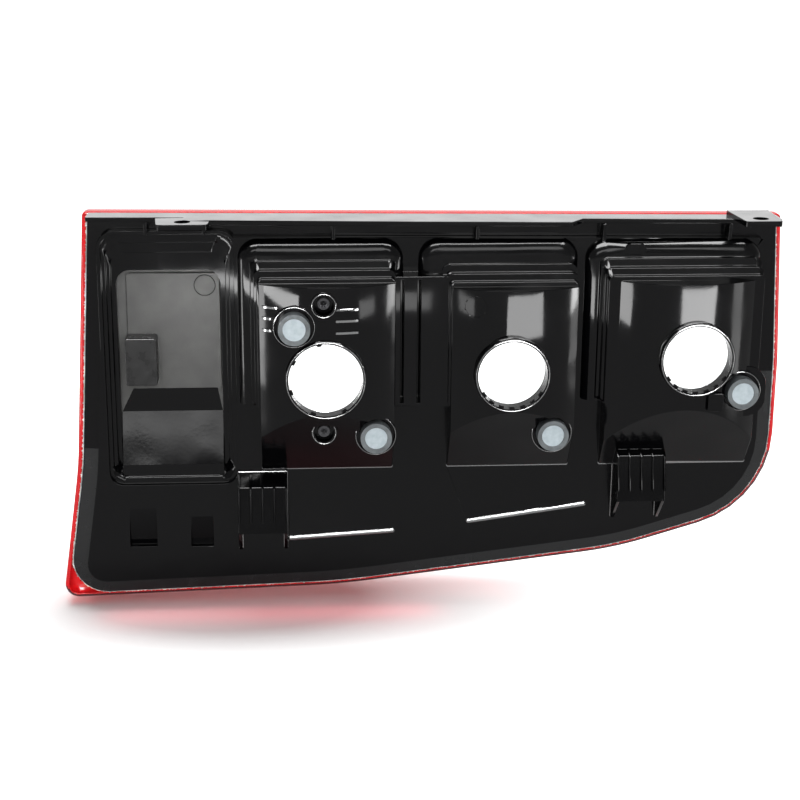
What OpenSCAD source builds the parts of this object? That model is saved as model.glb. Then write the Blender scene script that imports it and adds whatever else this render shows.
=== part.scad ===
// Rear combination lamp: a moulded black housing and a red outer lens bonded
// to it, with three bulb chambers, four breather vents and two screw tabs on a
// flanged long edge.
//
// Plan frame used by the modules: u runs along the lamp, v up across it and w
// rises from the seam of lens and housing towards the back of the lamp.
// seat() turns it into the part's own frame: u is +X, v is +Z and w is -Y, with
// the origin midway between the two tab holes, on the upper face of the tabs.

/* [Outline] */
// Lower left corner of the lens, measured from midway between the tab holes
left_reach = 268.5; // [262:0.5:280]
// Widest point of the right side of the lens, from the same middle
right_reach = 207.5; // [206:0.5:216]
// Depth of the outline below the tabs
drop = 260.5; // [256:0.5:270]
// Radius of the large lower right corner
sweep_r = 66; // [54:1:74]

/* [Lens] */
// Wall of the red lens
lens_wall = 3; // [2:0.25:3.5]
// Depth of the lens in front of the seam
lens_depth = 53; // [46:1:60]
// Width of the ledge that the sealant lies on
ledge = 6; // [5:0.5:8]
// Width of a clear window
window_w = 92; // [76:1:96]
// Height of a clear window
window_h = 110; // [90:1:114]
// Corner radius of a clear window
window_r = 12; // [6:1:20]

/* [Housing] */
// Wall of the housing
wall = 2.5; // [2:0.1:3]
// Level of the main face behind the seam
land = 10; // [9:0.5:11]
// Inset of the main face from the lens outline
land_inset = 14; // [13:0.5:15]
// Radius of the housing's lower left corner
housing_corner_r = 26; // [18:1:30]
// Thickness of the sealing flange
flange_t = 5; // [4.5:0.5:6]
// Depth of the recess at the left end, below the main face
recess_d = 15; // [13:0.5:17]

/* [Lamp chambers] */
// Highest level of a chamber's round back
chamber_top = 41; // [38:0.5:44]
// Radius of a chamber's round back
chamber_r = 78; // [70:1:95]
// Width of the left chamber
left_chamber_w = 85; // [82:0.5:88]
// Width of the middle chamber
middle_chamber_w = 80; // [78:0.5:84]
// Width of the right chamber
right_chamber_w = 98; // [94:0.5:100]
// Radius of the left bulb holder hole
left_bulb_r = 23.5; // [20:0.25:24]
// Radius of the middle and the right bulb holder hole
bulb_r = 22; // [19:0.25:22.5]
// Wall of the collars round the bulb holder holes
collar_wall = 2; // [1.5:0.25:2.5]
// Depth of the inner end of the collars below the highest level of a chamber
collar_depth = 8.5; // [8.5:0.5:12]

/* [Tabs] */
// Distance between the two tab holes
tab_pitch = 360; // [354:1:364]
// Radius of the tab holes
tab_hole_r = 5; // [3:0.25:5.5]
// Thickness of the tabs
tab_t = 3.6; // [3.4:0.1:4.5]
// Thickness of the flanged edge between the tabs
edge_t = 3; // [2.5:0.25:3.5]
// Distance of the tab holes behind the seam
tab_hole_w = 31; // [30.5:0.5:33]
// Reach of the tabs behind the seam
tab_reach = 40; // [39:0.5:44]

/* [Vents] */
// Outer radius of a vent cap
vent_r = 10; // [9:0.1:10.4]
// Height of a vent cap
vent_h = 9; // [8.5:0.5:12]
// Radius of the pale membrane in a vent cap
membrane_r = 7.1; // [6.6:0.1:7.5]
// Thickness of the membrane
membrane_t = 0.8; // [0.5:0.1:1.2]

/* [Screws] */
// Radius of the head of a reflector screw
screw_head_r = 3.7; // [3.2:0.1:4.2]
// Radius of the shank of a reflector screw
screw_r = 1.5; // [1.3:0.1:1.8]
// Length of the shank of a reflector screw
screw_len = 14; // [12:1:18]

/* [Hidden] */
$fn = 64;
over = 1;
arc_steps = 7;
slip = 0.1;

black_plastic = [0.05, 0.05, 0.055];
lens_red = [0.75, 0.03, 0.05];
clear_plastic = [0.9, 0.93, 0.95, 0.6];
chrome = [0.8, 0.81, 0.83];
vent_grey = [0.42, 0.45, 0.47];
membrane_pale = [0.68, 0.75, 0.8];
screw_steel = [0.35, 0.35, 0.36];
sealant_clear = [0.55, 0.55, 0.53];

// Corners of the lens outline, anticlockwise from the lower left: [u, v, radius]
outline_corners = [
    [-left_reach, -drop, 9],
    [-82, -drop + 5.8, 500],
    [right_reach - 103.5, -drop + 28.3, 250],
    [right_reach, -drop + 59.7, sweep_r],
    [right_reach - 0.5, -100, 300],
    [right_reach - 5.7, -2.8, 3],
    [-left_reach + 24.3, 1, 3],
    [-left_reach + 14, -167, 300]
];

// Outline of the housing, which leaves the lens open in its pointed corner
housing_corners = concat(
    [[outline_corners[0][0], outline_corners[0][1], housing_corner_r]],
    [for (i = [1 : len(outline_corners) - 1]) outline_corners[i]]
);

// Seam stack, outside to inside and back to front
seam = 0.8;
flange_back = 3;
flange_front = flange_back - flange_t;
lip_back = 1.5;
bead_t = 2.5;
ledge_back = flange_front - bead_t;
ledge_t = 3;
flange_inset = lens_wall + seam;

// Flanged edge along the top
edge_inset = 0.3;
edge_foot = lip_back + slip;
edge_deep = 28;
edge_shallow = 17;
edge_step_u = 62;
edge_step_run = 8;
edge_web = 32;
tab_u = tab_pitch / 2;
tab_corner_r = 3;

// Each tab: [side, root left, tip left, tip right, root right] from its hole
tabs = [
    [-1, -19, -15.5, 15.5, 18.5],
    [1, -14.5, -11.5, 12, 13]
];

// Gussets under the flanged edge: their places along the lamp
gusset_at = [64.5 - left_reach, -168, -87, 4, 85, 166];
gusset_t = 2;

// Level of the inner end of the collars
collar_foot = chamber_top - collar_depth;

// Middles of the lamp chambers along the lamp
left_u = 177 - left_reach;
right_u = right_reach - 70.5;
middle_u = (left_u + right_u) / 2 + 4.25;

// Lamp chambers: [centre u, width, upper edge v, hole u, hole v, collar level, hole radius,
// overhang of the surround to the left, to the right, above]
chambers = [
    [left_u, left_chamber_w, -40, left_u - 1.5, -99, chamber_top + 2, left_bulb_r, 13.5, 6, 25],
    [middle_u, middle_chamber_w, -43, middle_u - 2.5, -96.5, chamber_top + 5, bulb_r, 20, 1.5, 28],
    [right_u, right_chamber_w, -40, right_u + 5, -88, chamber_top + 4, bulb_r, 14, 1, 23.5]
];
chamber_low = -168;
slope_from = -122;
slope_deg = 34;

// Shelves above a chamber: [rise over the main face, overhang left, right, above, radius]
shelves = [[9, 5.5, 0.5, 12.5, 5], [14, 3.5, 0.5, 7.5, 4], [18, 1.5, 0.5, 3, 3]];

// Surround of a chamber, with a round shoulder: [share of the run, share of the rise]
surround_run = 10;
surround_rise = 7;
surround_r = 13;
shoulder = [[0, 0.3], [0.08, 0.55], [0.24, 0.76], [0.48, 0.9], [0.75, 0.97], [1, 1]];

// Bridge between the left and the middle chamber
bridge_u = [left_u + 39.5, middle_u - 37];
bridge_v = [-122, -37];
bridge_level = 24;
bridge_slots = [left_u + 47.5, middle_u - 60.3];
bridge_slot_w = 2.4;
bridge_slot_deep = 15;
bridge_slot_wall = 1.4;

// Raised seat of the right vent, [u from, u to, v from, v to, level], with a small block
vent_step = [right_u + 20, right_u + 54.5, -130, -97, 29.5];
vent_step_r = 12;
bracket = [right_u + 14, right_u + 24, -123, -111];
bracket_levels = [chamber_top - 5, chamber_top + 1];

// Small bump on the surround of the right chamber
bump = [right_u - 39, right_u - 26, -25, -18, land + surround_rise + 1.8];
bump_r = 3.4;

// Lines across the face of the left chamber
face_lines = [-54, -61.2, -68.8];
face_line_u = [[left_u - 41, left_u - 31.5], [left_u + 5, left_u + 19]];
face_line_w = 1.4;
face_line_h = 0.8;

// Round mould marks: radius and width of the ring, and the ring's height
mark_r = 7;
mark_w = 0.7;
mark_h = 0.25;

// Recess at the left end, as nested pads: [u from, u to, v from, v to, level]
recess_floor = land - recess_d;
recess_u = 35.5 - left_reach;
recess_low = 82.5 - drop;
recess_pads = [
    [recess_u, recess_u + 83, recess_low, -12, land - 4],
    [recess_u + 2.5, recess_u + 80, recess_low + 4, -18, land - 7.5],
    [recess_u + 5, recess_u + 77.5, recess_low + 7, -25, land - 11],
    [recess_u + 8, recess_u + 74, recess_low + 10, -37, recess_floor]
];
recess_r = 9;
ramp_from = recess_low + 46;
ramp_to = recess_low + 12;
ramp_rise = 9;
panel_u = [recess_u + 14, recess_u + 73.5];
panel_v = [ramp_from + 16, -39.5];
panel_rise = 1.6;
panel_step_u = recess_u + 35;
panel_step = 0.6;
panel_mark = [panel_u[1] - 9.5, panel_v[1] - 8];

// Vents: [u, v, level of the seat, depth of the seat's foot below it]
vents = [
    [left_u - 21, -65, 38.5, 5.6],
    [left_u + 30.5, -139, 29.5, 5],
    [middle_u + 25.5, -139, 29.5, 5],
    [right_u + 37, -112, 31, 4.3]
];
vent_names = ["upper_left", "lower_left", "middle", "right"];
vent_seat_r = 13.3;
vent_rim_t = 1.4;
vent_rim_h = 2;
nipple_r = 5;
nipple_bore = 3;
nipple_h = 5;
membrane_sink = 1;

// Reflector screws: [u, v, level of the head's seat, level of the boss]
screws = [
    [left_u - 2.5, -51, 34, 42.5],
    [left_u - 2.5, -136, 28.5, 34]
];
screw_boss_r = 8.4;
screw_well_r = 6.2;
screw_hole_r = screw_r + 0.5;
screw_head_t = 2.4;
screw_seat_t = 3;

// Reflectors: paraboloid bowls between a neck and a mouth
bowl_t = 1.5;
bowl_neck_gap = 0.3;
bowl_mouth_r = 38.5;
bowl_mouth = -10;
bowl_steps = 12;
rim_w = 88;
rim_h = 90;
rim_t = 1.8;
rim_r = 10;
post_r = 4.2;

// Locating hooks: [u, v of the upper end]
hooks = [[left_u - 42.5, 90.5 - drop], [right_u - 23.5, 108.5 - drop]];
hook_w = 32;
hook_run = 36;
hook_rise = 20;
hook_mouth_w = 21;
hook_mouth_h = 9;
hook_mouth_deep = 18;
hook_roof = 5;
hook_leg_run = 17;
hook_leg_t = 2.2;
hook_ribs = 5;
rib_t = 1.4;
rib_h = 2;

// Raised lines on the lower face: [u, v, length, angle]
ridges = [
    [left_u - 25, 43.5 - drop, 68, 3.5],
    [middle_u - 25, 53.5 - drop, 78, 8],
    [right_u - 37, 98.5 - drop, 68, 15],
    [right_u - 19, 91.5 - drop, 52, 14]
];
ridge_r = 1.7;
ridge_sink = 0.5;

// Wedge-shaped pockets of the lower face: [u from, u to, v from, v to, depth at the lower end]
pockets = [
    [recess_u + 11.5, recess_u + 29, 39.5 - drop, 66 - drop, 5],
    [recess_u + 51.5, recess_u + 66, 39 - drop, 60 - drop, 5]
];

// Harness clip on the panel of the recess
clip_u = panel_u[0] + 9;
clip_v = (panel_v[0] + panel_v[1]) / 2 - (panel_v[1] - panel_v[0]) / 4.5;
clip_w = 20;
clip_len = 31;
clip_h = 14;
clip_slot_w = 14;
clip_slot_h = 3;

// Lens loft, seam to front: [inset from the outline, share of the lens depth]
lens_rows = [
    [0, 0.15], [1, 0.28], [3, 0.45], [6.5, 0.62], [12, 0.77],
    [20, 0.88], [32, 0.95], [46, 0.985], [62, 1]
];

// Reflex panel in the lens front, as a rounded field
reflex_u = [36.5 - left_reach, 110.5 - left_reach];
reflex_v = [60.5 - drop, -40];
reflex_r = 10;

function unit(a) = a / norm(a);
function flat(a) = [a[0], a[1]];
function leftward(a) = [-a[1], a[0]];
function at(list, i) = list[(i + len(list)) % len(list)];

// Point where two lines meet, each given by a point and a direction
function meet(p, a, q, b) = p + a * (((q - p) * leftward(b)) / (a * leftward(b)));

// Corner i of a polygon after every side has moved inwards by d
function inset_corner(c, i, d) =
    let (p = flat(at(c, i)), a = unit(p - flat(at(c, i - 1))), b = unit(flat(at(c, i + 1)) - p))
    meet(p + leftward(a) * d, a, p + leftward(b) * d, b);

// +1 where the outline turns left at p, -1 where it turns right
function turn_sign(before, p, after) = (after - p) * leftward(p - before) > 0 ? 1 : -1;

// Points of the arc that rounds the corner p between before and after
function arc(before, p, after, r) =
    let (a = unit(before - p), b = unit(after - p), half = acos(a * b) / 2,
         c = p + unit(a + b) * r / sin(half), s = p + a * r / tan(half) - c,
         from = atan2(s[1], s[0]), turn = turn_sign(before, p, after) * (180 - 2 * half))
    [for (k = [0 : arc_steps]) c + r * [cos(from + turn * k / arc_steps), sin(from + turn * k / arc_steps)]];

// Rounded outline with every side moved inwards by d
function rounded(c, d) =
    let (n = len(c), m = [for (i = [0 : n - 1]) inset_corner(c, i, d)])
    [for (i = [0 : n - 1])
        each arc(at(m, i - 1), m[i], at(m, i + 1),
            max(c[i][2] - d * turn_sign(at(m, i - 1), m[i], at(m, i + 1)), 1))];

function box_corners(u, v, r) = [[u[0], v[0], r], [u[1], v[0], r], [u[1], v[1], r], [u[0], v[1], r]];

// Turns the plan frame into the part's own frame
module seat() {
    translate([0, tab_hole_w, 0])
        rotate([90, 0, 0])
            children();
}

module slab(corners, d, w0, w1) {
    translate([0, 0, w0])
        linear_extrude(w1 - w0)
            polygon(rounded(corners, d));
}

// Ring between two insets of an outline
module band(d0, d1, w0, w1, corners = outline_corners) {
    difference() {
        slab(corners, d0, w0, w1);
        slab(corners, d1, w0 - over, w1 + over);
    }
}

module pad(u, v, r, w0, w1, d = 0) {
    slab(box_corners(u, v, r), d, w0, w1);
}

module post(u, v, r, w0, w1) {
    translate([u, v, w0])
        cylinder(r = r, h = w1 - w0);
}

// Prism along u of a profile drawn in v and w
module across(u0, u1, profile) {
    translate([u0, 0, 0])
        rotate([90, 0, 90])
            linear_extrude(u1 - u0)
                polygon(profile);
}

// Solid under the round back of a chamber, with its walls moved inwards by g
module chamber(c, g) {
    half = c[1] / 2 - g;
    bottom = flange_front - g;
    foot = slope_from - chamber_top / tan(slope_deg);
    intersection() {
        translate([c[0] - half, chamber_low + g, bottom])
            cube([2 * half, c[2] - chamber_low - 2 * g, 2 * chamber_top]);
        translate([c[0], 0, chamber_top - chamber_r])
            rotate([90, 0, 0])
                cylinder(r = chamber_r - g, h = 2 * drop, center = true, $fn = 128);
        translate([0, g * sin(slope_deg), -g * cos(slope_deg)])
            across(c[0] - half - over, c[0] + half + over, [
                [0, 2 * bottom], [0, 2 * chamber_top],
                [slope_from + chamber_top / tan(slope_deg), 2 * chamber_top],
                [foot, 0], [foot, 2 * bottom]
            ]);
    }
}

// Points down a round shoulder, from where it starts at edge towards side
function shoulder_line(edge, side, g) =
    [for (p = shoulder) [edge - side * p[0] * surround_run, land + p[1] * surround_rise - g]];
function backwards(list) = [for (i = [len(list) - 1 : -1 : 0]) list[i]];

// Surround of a chamber: a block with a round shoulder to the left, to the right and above
module surround(c, g) {
    left = c[0] - c[1] / 2 - c[7] + g;
    right = c[0] + c[1] / 2 + c[8] - g;
    top = c[2] + c[9] - g;
    low = slope_from + g;
    r = surround_r - g;
    bottom = flange_front - g;
    level = land + surround_rise - g;
    across(left + r, right - r, concat(
        [[low, bottom], [top, bottom]], shoulder_line(top, 1, g), [[low, level]]));
    translate([0, top - r, 0])
        rotate([90, 0, 0])
            linear_extrude(top - r - low)
                polygon(concat([[left, bottom], [right, bottom]],
                    shoulder_line(right, 1, g), backwards(shoulder_line(left, -1, g))));
    for (u = [left + r, right - r])
        translate([u, top - r, 0])
            rotate_extrude()
                polygon(concat([[0, bottom], [r, bottom]], shoulder_line(r, 1, g), [[0, level]]));
}

// Stepped shelves above a chamber, with walls moved inwards by g
module shelving(c, g) {
    side = c[1] / 2;
    for (s = shelves)
        pad([c[0] - side - s[1], c[0] + side + s[2]], [slope_from, c[2] + s[3]],
            s[4], flange_front - g, land + s[0] - g, g);
}

// Bulk of the housing inside the edge of its main face, with its walls moved inwards by g
module bulk(g) {
    bottom = flange_front - g;
    intersection() {
        slab(housing_corners, land_inset + g, bottom, 2 * chamber_top);
        union() {
            slab(housing_corners, land_inset, bottom, land - g);
            for (c = chambers) {
                chamber(c, g);
                surround(c, g);
                shelving(c, g);
            }
            pad(bridge_u, bridge_v, 3 + g, bottom, bridge_level - g, g);
            pad([vent_step[0], vent_step[1]], [vent_step[2], vent_step[3]],
                vent_step_r, bottom, vent_step[4] - g, g);
        }
    }
}

// Room of the stepped recess, with its walls moved outwards by g
module recess_room(g, top) {
    deepest = recess_pads[3];
    difference() {
        for (p = recess_pads)
            pad([p[0], p[1]], [p[2], p[3]], recess_r, p[4] - g, top, -g);
        across(deepest[0] + g, deepest[1] - g, [
            [ramp_from, recess_floor - g - over], [ramp_from, recess_floor - g],
            [ramp_to, recess_floor + ramp_rise - g], [-drop, recess_floor + ramp_rise - g],
            [-drop, recess_floor - g - over]
        ]);
    }
}

module recess_panel() {
    pad(panel_u, panel_v, 3, recess_floor - over, recess_floor + panel_rise);
    pad([panel_step_u, panel_u[1]], panel_v, 3, recess_floor - over, recess_floor + panel_rise + panel_step);
}

// Point of the outline's upper side at u, moved inwards by d
function upper_side(u, d) =
    let (a = flat(outline_corners[5]), b = flat(outline_corners[6]), along = unit(b - a))
    meet(a + leftward(along) * d, along, [u, 0], [0, 1]);

// Flanged edge, deep between the left tab and the step and shallow past them
module flanged_edge() {
    right_end = max(outline_corners[5][0] - flange_inset, tab_u + tabs[1][4]);
    left_end = outline_corners[6][0] + flange_inset;
    intersection() {
        translate([0, 0, edge_foot])
            linear_extrude(edge_deep)
                polygon([
                    upper_side(left_end, edge_inset + edge_t), upper_side(right_end, edge_inset + edge_t),
                    upper_side(right_end, edge_inset), upper_side(left_end, edge_inset)
                ]);
        translate([0, drop, 0])
            rotate([90, 0, 0])
                linear_extrude(2 * drop)
                    polygon([
                        [left_end, 0], [right_end, 0], [right_end, edge_shallow],
                        [edge_step_u + edge_step_run, edge_shallow], [edge_step_u, edge_deep],
                        [-tab_u, edge_deep], [-tab_u, edge_shallow], [left_end, edge_shallow]
                    ]);
    }
    // Web that carries the edge on the sealing flange
    intersection() {
        band(edge_inset, flange_inset + edge_t, edge_foot, flange_back);
        translate([left_end, -edge_web, 0])
            cube([right_end - left_end, 2 * edge_web, flange_back + over]);
    }
}

// One tab: a plate with rounded outer corners, flush with v = 0
module tab(t) {
    hole_u = t[0] * tab_u;
    rotate([90, 0, 0])
        linear_extrude(tab_t)
            polygon(rounded([
                [hole_u + t[1], edge_foot, 1],
                [hole_u + t[4], edge_foot, 1],
                [hole_u + t[3], tab_reach, tab_corner_r],
                [hole_u + t[2], tab_reach, tab_corner_r]
            ], 0));
}

module tab_hole(t) {
    translate([t[0] * tab_u, over, tab_hole_w])
        rotate([90, 0, 0])
            cylinder(r = tab_hole_r, h = tab_t + 2 * over);
}

module gussets() {
    for (u = gusset_at)
        across(u - gusset_t / 2, u + gusset_t / 2, [
            [-edge_t, flange_back - over], [-edge_t, edge_shallow - 2], [-7, edge_shallow - 3],
            [-21, land + 3], [-21, land - over], [-land_inset - 4, flange_back - over]
        ]);
}

module collar(c) {
    post(c[3], c[4], c[6] + collar_wall, collar_foot, c[5]);
}

// Seat of a vent: a low round rim with a nipple in the middle
module vent_seat(p) {
    difference() {
        post(p[0], p[1], vent_seat_r, p[2] - p[3], p[2] + vent_rim_h);
        post(p[0], p[1], vent_seat_r - vent_rim_t, p[2], p[2] + vent_rim_h + over);
    }
    post(p[0], p[1], nipple_r, p[2] - over, p[2] + nipple_h);
}

// Room round a vent cap inside its rim
module vent_well(p) {
    difference() {
        post(p[0], p[1], vent_seat_r - vent_rim_t, p[2], p[2] + 2 * vent_h);
        post(p[0], p[1], nipple_r, p[2] - over, p[2] + nipple_h);
    }
}

module hook(h) {
    side = hook_w / 2;
    translate([h[0], h[1], 0]) {
        difference() {
            union() {
                across(-side, side, [
                    [0, land - over], [0, land + 3], [-6, land + hook_rise - 6],
                    [-hook_run, land + hook_rise], [-hook_run, land - over]
                ]);
                for (k = [0 : hook_ribs - 1])
                    translate([-side + (hook_w - rib_t) * k / (hook_ribs - 1), 0, 0])
                        across(0, rib_t, [
                            [0, land - over], [0, land + 3 + rib_h], [-6, land + hook_rise - 6 + rib_h],
                            [8 - hook_run, land + hook_rise + rib_h], [8 - hook_run, land - over]
                        ]);
            }
            translate([-hook_mouth_w / 2, -hook_run - over, land + hook_rise - hook_mouth_h - hook_roof])
                cube([hook_mouth_w, hook_mouth_deep, hook_mouth_h]);
        }
        for (s = [-side, side - hook_leg_t])
            translate([s, 0, 0])
                across(0, hook_leg_t, [
                    [over - hook_run, land - over], [over - hook_run, land + hook_rise],
                    [-hook_run - hook_leg_run, land + 3], [-hook_run - hook_leg_run, land - over]
                ]);
    }
}

// Half-round raised line with round ends
module ridge(r) {
    translate([r[0], r[1], land - ridge_sink])
        rotate([0, 0, r[3]]) {
            rotate([0, 90, 0])
                cylinder(r = ridge_r, h = r[2], $fn = 32);
            for (u = [0, r[2]])
                translate([u, 0, 0])
                    sphere(r = ridge_r, $fn = 32);
        }
}

// Room of a wedge-shaped pocket, with its walls moved outwards by g
module pocket(p, g) {
    across(p[0] - g, p[1] + g, [
        [p[2] - g, land + (g > 0 ? -over / 2 : over)], [p[2] - g, land - p[4] - g],
        [p[3] + g, land - g], [p[3] + g, land + (g > 0 ? -over / 2 : over)]
    ]);
}

// Channel of a slot in the bridge, with its walls moved outwards by g
module bridge_channel(u, g) {
    length = bridge_v[1] - bridge_v[0] - 4;
    translate([u - bridge_slot_w / 2 - g, bridge_v[0] + 2 - g, bridge_level - bridge_slot_deep - g])
        cube([bridge_slot_w + 2 * g, length + 2 * g, bridge_slot_deep + (g > 0 ? g : over)]);
}

// Thin lines and round marks that stand out of the chambers' faces
module face_marks() {
    difference() {
        intersection() {
            chamber(chambers[0], -face_line_h);
            for (v = face_lines, u = face_line_u)
                translate([u[0], v - face_line_w / 2, land])
                    cube([u[1] - u[0], face_line_w, chamber_top]);
        }
        chamber(chambers[0], wall / 2);
    }
    difference() {
        intersection() {
            chamber(chambers[1], -mark_h);
            mark(chambers[1][0] - 26, -54, land + surround_rise, chamber_top + over);
        }
        chamber(chambers[1], wall / 2);
    }
}

module mark(u, v, w0, w1) {
    difference() {
        post(u, v, mark_r, w0, w1);
        post(u, v, mark_r - mark_w, w0 - over, w1 + over);
    }
}

module rear_housing() {
    color(black_plastic) {
        difference() {
            union() {
                difference() {
                    bulk(0);
                    bulk(wall);
                }
                band(flange_inset, land_inset + wall, flange_front, flange_back, housing_corners);
                recess_room(wall, land);
                for (p = pockets) pocket(p, wall);
                for (u = bridge_slots) bridge_channel(u, bridge_slot_wall);
                face_marks();
                pad([bracket[0], bracket[1]], [bracket[2], bracket[3]],
                    1.5, bracket_levels[0], bracket_levels[1]);
                pad([bump[0], bump[1]], [bump[2], bump[3]], bump_r, land, bump[4]);
                flanged_edge();
                gussets();
                for (t = tabs) tab(t);
                for (c = chambers) collar(c);
                for (p = vents) vent_seat(p);
                for (s = screws) post(s[0], s[1], screw_boss_r, s[2] - screw_seat_t, s[3]);
                for (h = hooks) hook(h);
                for (r = ridges) ridge(r);
            }
            recess_room(0, land + surround_rise + over);
            for (t = tabs) tab_hole(t);
            for (c = chambers) post(c[3], c[4], c[6], flange_front, c[5] + over);
            for (p = vents) {
                vent_well(p);
                post(p[0], p[1], nipple_bore, flange_front, p[2] + nipple_h + over);
            }
            for (s = screws) {
                post(s[0], s[1], screw_well_r, s[2], s[3] + over);
                post(s[0], s[1], screw_hole_r, flange_front, s[2] + over);
            }
            for (u = bridge_slots) bridge_channel(u, 0);
            for (p = pockets) pocket(p, 0);
        }
        recess_panel();
        mark(panel_mark[0], panel_mark[1], recess_floor, recess_floor + panel_rise + panel_step + mark_h);
    }
}

// Loft through the rows, each a ring of points at its own level
module loft(rings) {
    n = len(rings[0]);
    last = len(rings) - 1;
    polyhedron(
        points = [for (ring = rings) each ring],
        faces = concat(
            [[for (i = [n - 1 : -1 : 0]) i]],
            [for (r = [0 : last - 1]) for (i = [0 : n - 1])
                [r * n + i, r * n + (i + 1) % n, (r + 1) * n + (i + 1) % n, (r + 1) * n + i]],
            [[for (i = [0 : n - 1]) last * n + i]]
        )
    );
}

function ring_at(d, w) = [for (p = rounded(outline_corners, d)) [p[0], p[1], w]];

// Solid behind the lens skin, with its skin moved inwards by g
module lens_body(g) {
    intersection() {
        loft(concat([ring_at(g, lip_back + 2 * over)],
            [for (r = lens_rows) ring_at(r[0] + g, g - r[1] * lens_depth)]));
        slab(outline_corners, -over, -lens_depth - over, lip_back + (g > 0 ? over : 0));
    }
}

module lens_skin() {
    difference() {
        lens_body(0);
        lens_body(lens_wall);
    }
}

// Ledge that carries the sealant
module lens_ledge() {
    band(lens_wall / 2, lens_wall + ledge, ledge_back - ledge_t, ledge_back);
}

module window_field(c, d) {
    pad([c[3] - window_w / 2, c[3] + window_w / 2], [c[4] - window_h / 2, c[4] + window_h / 2],
        window_r, -lens_depth - over, -lens_depth / 2, d);
}

module reflex_field(d) {
    pad(reflex_u, reflex_v, reflex_r, -lens_depth - over, -lens_depth / 4, d);
}

module outer_lens() {
    color(lens_red)
        difference() {
            lens_body(0);
            difference() {
                lens_body(lens_wall);
                lens_ledge();
            }
            for (c = chambers) window_field(c, 0);
            reflex_field(0);
        }
}

module clear_window(c) {
    color(clear_plastic)
        intersection() {
            lens_skin();
            window_field(c, slip);
        }
}

module reflex_panel() {
    color(lens_red)
        intersection() {
            lens_skin();
            reflex_field(slip);
        }
}

// Bead under the sealing flange that also fills the seam round it
module sealant_bead() {
    color(sealant_clear) {
        band(lens_wall + slip, lens_wall + ledge, ledge_back + slip, flange_front - slip, housing_corners);
        band(lens_wall + slip, flange_inset - slip, ledge_back + slip, lip_back, housing_corners);
    }
}

// Bowl radius and level at share s of the way from neck to mouth
function bowl_radius(neck, s) = sqrt(neck ^ 2 + s * (bowl_mouth_r ^ 2 - neck ^ 2));
function bowl_level(s) = collar_foot - slip + s * (bowl_mouth - collar_foot + slip);
function bowl_curve(neck) =
    [for (k = [0 : bowl_steps]) [bowl_radius(neck, k / bowl_steps), bowl_level(k / bowl_steps)]];

module reflector(c, posts) {
    inner = bowl_curve(c[6] + bowl_neck_gap);
    outer = [for (k = [bowl_steps : -1 : 0]) inner[k] + [bowl_t, 0]];
    color(chrome)
        difference() {
            union() {
                translate([c[3], c[4], 0])
                    rotate_extrude()
                        polygon(concat(inner, outer));
                difference() {
                    pad([c[3] - rim_w / 2, c[3] + rim_w / 2], [c[4] - rim_h / 2, c[4] + rim_h / 2],
                        rim_r, bowl_mouth - rim_t, bowl_mouth);
                    post(c[3], c[4], bowl_mouth_r, bowl_mouth - rim_t - over, bowl_mouth + over);
                }
                for (s = posts)
                    difference() {
                        post(s[0], s[1], post_r, bowl_mouth - rim_t, s[2] - screw_seat_t - slip);
                        translate([c[3], c[4], 0])
                            rotate_extrude()
                                polygon(concat([[0, collar_foot]], inner, [[0, bowl_mouth]]));
                    }
            }
            for (s = posts)
                post(s[0], s[1], screw_r + slip, s[2] - screw_len - over, s[2]);
        }
}

module vent_cap(p) {
    foot = p[2] + slip;
    top = p[2] + vent_h;
    color(vent_grey)
        difference() {
            post(p[0], p[1], vent_r, foot, top);
            post(p[0], p[1], nipple_r + slip, foot - over, p[2] + nipple_h + slip);
            post(p[0], p[1], nipple_bore, foot, top);
            post(p[0], p[1], membrane_r + slip, top - membrane_sink - membrane_t, top + over);
        }
}

module vent_membrane(p) {
    top = p[2] + vent_h - membrane_sink;
    color(membrane_pale)
        post(p[0], p[1], membrane_r, top - membrane_t, top);
}

module reflector_screw(s) {
    color(screw_steel)
        difference() {
            union() {
                post(s[0], s[1], screw_head_r, s[2], s[2] + screw_head_t);
                post(s[0], s[1], screw_r, s[2] - screw_len, s[2] + over);
            }
            for (a = [0, 90])
                translate([s[0], s[1], s[2] + screw_head_t])
                    rotate([0, 0, a])
                        cube([screw_head_r, 0.8, 2 * over], center = true);
        }
}

module harness_clip() {
    base = recess_floor + panel_rise;
    color(black_plastic)
        difference() {
            pad([clip_u - clip_w / 2, clip_u + clip_w / 2], [clip_v - clip_len / 2, clip_v + clip_len / 2],
                1.5, base, base + clip_h);
            translate([clip_u - clip_slot_w / 2, clip_v - clip_len, base + clip_h - 2 - clip_slot_h])
                cube([clip_slot_w, 2 * clip_len, clip_slot_h]);
        }
}

seat() rear_housing();
seat() outer_lens();
seat() clear_window(chambers[0]);  // clear_window_left
seat() clear_window(chambers[1]);  // clear_window_middle
seat() clear_window(chambers[2]);  // clear_window_right
seat() reflex_panel();
seat() reflector(chambers[0], screws);  // reflector_left
seat() reflector(chambers[1], []);  // reflector_middle
seat() reflector(chambers[2], []);  // reflector_right
seat() sealant_bead();
for (k = [0 : len(vents) - 1]) {
    seat() vent_cap(vents[k]);
    seat() vent_membrane(vents[k]);
}
seat() reflector_screw(screws[0]);  // reflector_screw_upper
seat() reflector_screw(screws[1]);  // reflector_screw_lower
seat() harness_clip();
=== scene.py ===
"""Rear combination lamp, seen from the side of its housing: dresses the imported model."""

import math

import bmesh
import bpy
from mathutils import Matrix, Vector


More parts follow.
